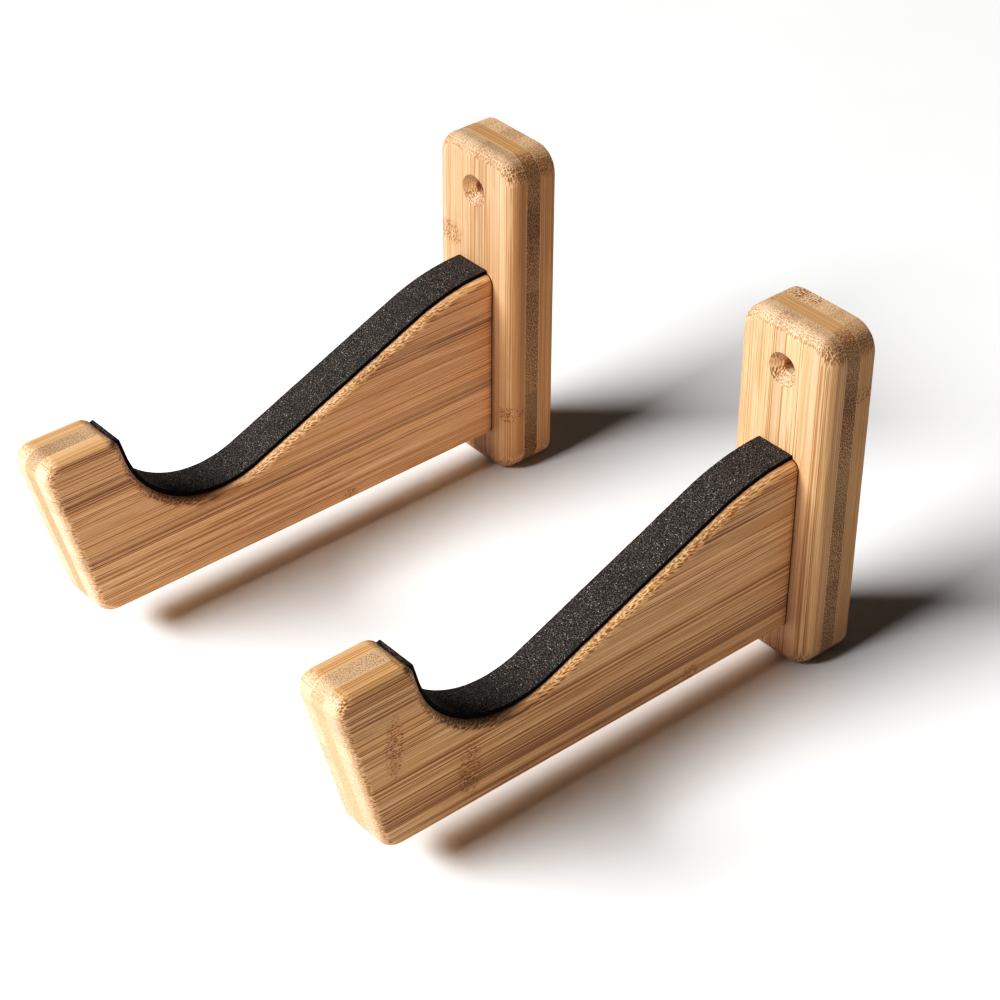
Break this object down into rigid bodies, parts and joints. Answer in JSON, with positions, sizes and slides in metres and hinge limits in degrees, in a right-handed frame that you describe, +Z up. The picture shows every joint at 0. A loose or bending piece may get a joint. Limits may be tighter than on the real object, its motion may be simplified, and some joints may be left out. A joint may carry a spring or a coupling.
{
  "type": "wall guitar hanger",
  "caption": "Laminated bamboo wall brackets, each an upright plate with a countersunk screw hole, and an arm with a foam-lined cradle ending in an upturned tip.",
  "frame": {"origin": "on the wall plane, half way between the two wall-screw holes", "axes": "+X along the wall to the right as seen from the room, -Y out from the wall along the arms, +Z up"},
  "size_m": [0.185, 0.2002, 0.125],
  "materials": {
    "bamboo_plate_outer": "satin, grain upright",
    "bamboo_plate_core": "satin, grain across",
    "bamboo_arm_outer": "satin, grain along the arm",
    "bamboo_arm_core": "satin, grain upright",
    "foam_pad": "matte closed-cell foam",
    "screw_steel": "zinc plated"
  },
  "bodies": {
    "root": {"left_plate_back_ply": "bamboo_plate_outer", "left_plate_core_ply": "bamboo_plate_core", "left_plate_front_ply": "bamboo_plate_outer", "left_arm_left_ply": "bamboo_arm_outer", "left_arm_core_ply": "bamboo_arm_core", "left_arm_right_ply": "bamboo_arm_outer", "left_cradle_pad": "foam_pad", "left_upper_arm_screw": "screw_steel", "left_lower_arm_screw": "screw_steel", "right_plate_back_ply": "bamboo_plate_outer", "right_plate_core_ply": "bamboo_plate_core", "right_plate_front_ply": "bamboo_plate_outer", "right_arm_left_ply": "bamboo_arm_outer", "right_arm_core_ply": "bamboo_arm_core", "right_arm_right_ply": "bamboo_arm_outer", "right_cradle_pad": "foam_pad", "right_upper_arm_screw": "screw_steel", "right_lower_arm_screw": "screw_steel"}
  },
  "joints": []
}
